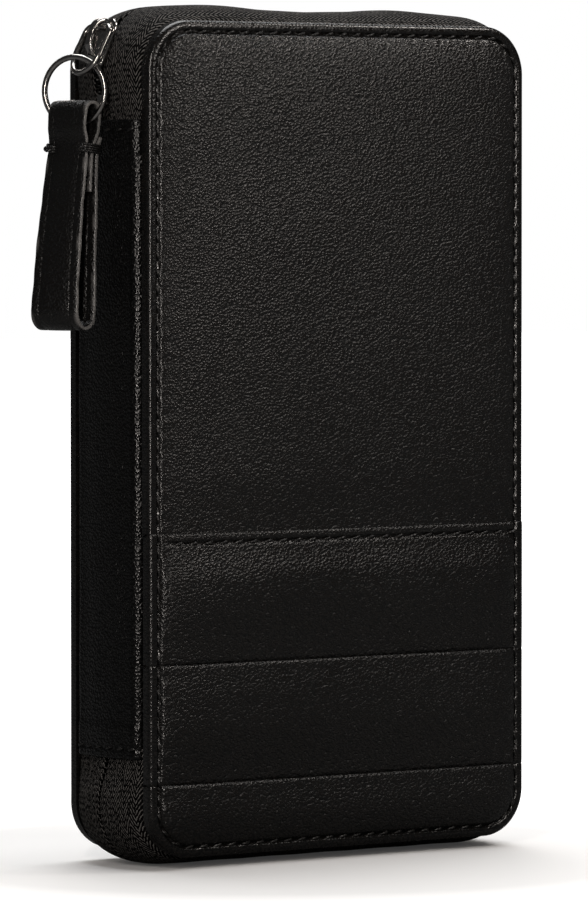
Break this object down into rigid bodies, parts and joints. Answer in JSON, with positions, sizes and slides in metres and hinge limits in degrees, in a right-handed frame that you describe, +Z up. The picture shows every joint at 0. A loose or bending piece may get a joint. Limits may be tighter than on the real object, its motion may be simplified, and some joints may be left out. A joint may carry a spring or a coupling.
{
  "type": "travel document organizer",
  "caption": "Zip-around leather travel organizer with shingled front bands, leather spine, slider with link, ring and strap pull, and card and passport pockets inside.",
  "frame": {"origin": "middle of the object's box, pull included, on the floor the case stands on", "axes": "+Z up along the height, +Y from the front cover to the back cover, +X from the spine to the opening side"},
  "size_m": [0.1482, 0.038, 0.2256],
  "materials": {
    "black_leather": "fine pebbled grain, semi-matt",
    "pocket_leather": "smooth, matt",
    "lining_cloth": "fine twill, matt",
    "zip_tape": "herringbone woven tape",
    "zip_coil": "nylon coil",
    "board": "plain board",
    "foam": "open cell",
    "gunmetal": "polished dark plating",
    "tie_thread": "waxed thread"
  },
  "bodies": {
    "back_half": {"back_cover_leather": "black_leather", "back_cover_foam": "foam", "back_cover_board": "board", "back_cover_lining": "lining_cloth", "zip_tape_back": "zip_tape", "zip_coil_back": "zip_coil", "boarding_pass_pocket": "pocket_leather", "passport_pocket": "pocket_leather", "pen_loop": "lining_cloth"},
    "spine": {"spine_leather": "black_leather", "spine_board": "board", "spine_lining": "lining_cloth", "zip_end_tab_upper": "zip_tape", "zip_end_tab_lower": "zip_tape", "zip_stop_upper": "gunmetal"},
    "front_half": {"front_cover_leather": "black_leather", "front_cover_foam": "foam", "front_cover_board": "board", "front_cover_lining": "lining_cloth", "front_band_upper": "black_leather", "front_band_middle": "black_leather", "front_band_lower": "black_leather", "zip_tape_front": "zip_tape", "zip_coil_front": "zip_coil", "currency_pocket": "pocket_leather", "card_slot_1": "pocket_leather", "card_slot_2": "pocket_leather", "card_slot_3": "pocket_leather", "card_slot_4": "pocket_leather"},
    "slider": {"slider_body": "gunmetal", "slider_bridge": "gunmetal"},
    "link": {"pull_link": "gunmetal"},
    "ring": {"jump_ring": "gunmetal"},
    "tab": {"pull_tab_strap": "black_leather", "pull_tab_tie": "tie_thread"}
  },
  "joints": [
    {"name": "spine_fold", "type": "hinge", "parent": "back_half", "child": "spine", "pos_m": [-0.05366, 0.01555, 0.1128], "axis": [0, 0, -1], "range_deg": [0, 90]},
    {"name": "cover_fold", "type": "hinge", "parent": "spine", "child": "front_half", "pos_m": [-0.05366, -0.01465, 0.1128], "axis": [0, 0, -1], "range_deg": [0, 90]},
    {"name": "slider_travel", "type": "hinge", "parent": "spine", "child": "slider", "pos_m": [-0.04066, 0.00045, 0.2098], "axis": [0, 1, 0], "range_deg": [0, 65]},
    {"name": "link_swing", "type": "hinge", "parent": "slider", "child": "link", "pos_m": [-0.0563, 0.00045, 0.22135], "axis": [0, 1, 0], "range_deg": [0, 90]},
    {"name": "ring_swing", "type": "hinge", "parent": "link", "child": "ring", "pos_m": [-0.06287, 0.00045, 0.20899], "axis": [0, 1, 0], "range_deg": [0, 12]},
    {"name": "tab_swing", "type": "hinge", "parent": "ring", "child": "tab", "pos_m": [-0.06267, 0.00285, 0.19879], "axis": [-0.4067, 0.9135, 0], "range_deg": [0, 10]}
  ]
}
